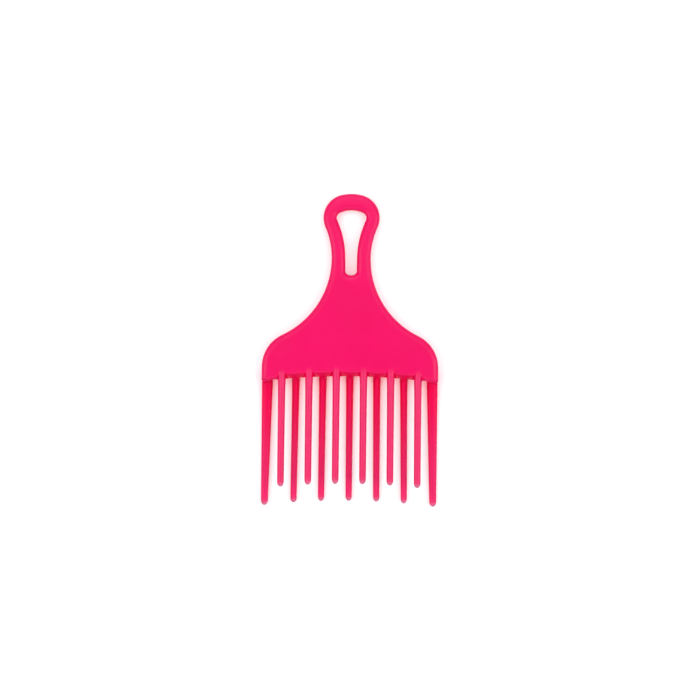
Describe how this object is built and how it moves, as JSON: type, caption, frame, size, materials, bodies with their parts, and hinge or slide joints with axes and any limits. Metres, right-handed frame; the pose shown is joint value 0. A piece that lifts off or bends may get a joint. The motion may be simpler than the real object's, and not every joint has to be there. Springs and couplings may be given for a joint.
{
  "type": "double-row lifting comb",
  "caption": "Wide double-row lifting comb of moulded plastic with a looped handle, flared head and two staggered rows of long round teeth, for lifting and parting hair.",
  "frame": {"origin": "centre of the bounding box in plan, on the surface that the flat back lies on", "axes": "+Y along the comb towards the handle loop, +Z out of the front face, +X across the head"},
  "size_m": [0.093, 0.165, 0.0132],
  "materials": {
    "comb_plastic": "smooth hot-pink moulded plastic with a soft satin gloss"
  },
  "bodies": {
    "root": {"body": "comb_plastic", "end_tooth_left": "comb_plastic", "end_tooth_right": "comb_plastic", "rear_tooth_1": "comb_plastic", "rear_tooth_2": "comb_plastic", "rear_tooth_3": "comb_plastic", "rear_tooth_4": "comb_plastic", "rear_tooth_5": "comb_plastic", "front_tooth_1": "comb_plastic", "front_tooth_2": "comb_plastic", "front_tooth_3": "comb_plastic", "front_tooth_4": "comb_plastic", "front_tooth_5": "comb_plastic", "front_tooth_6": "comb_plastic"}
  },
  "joints": []
}
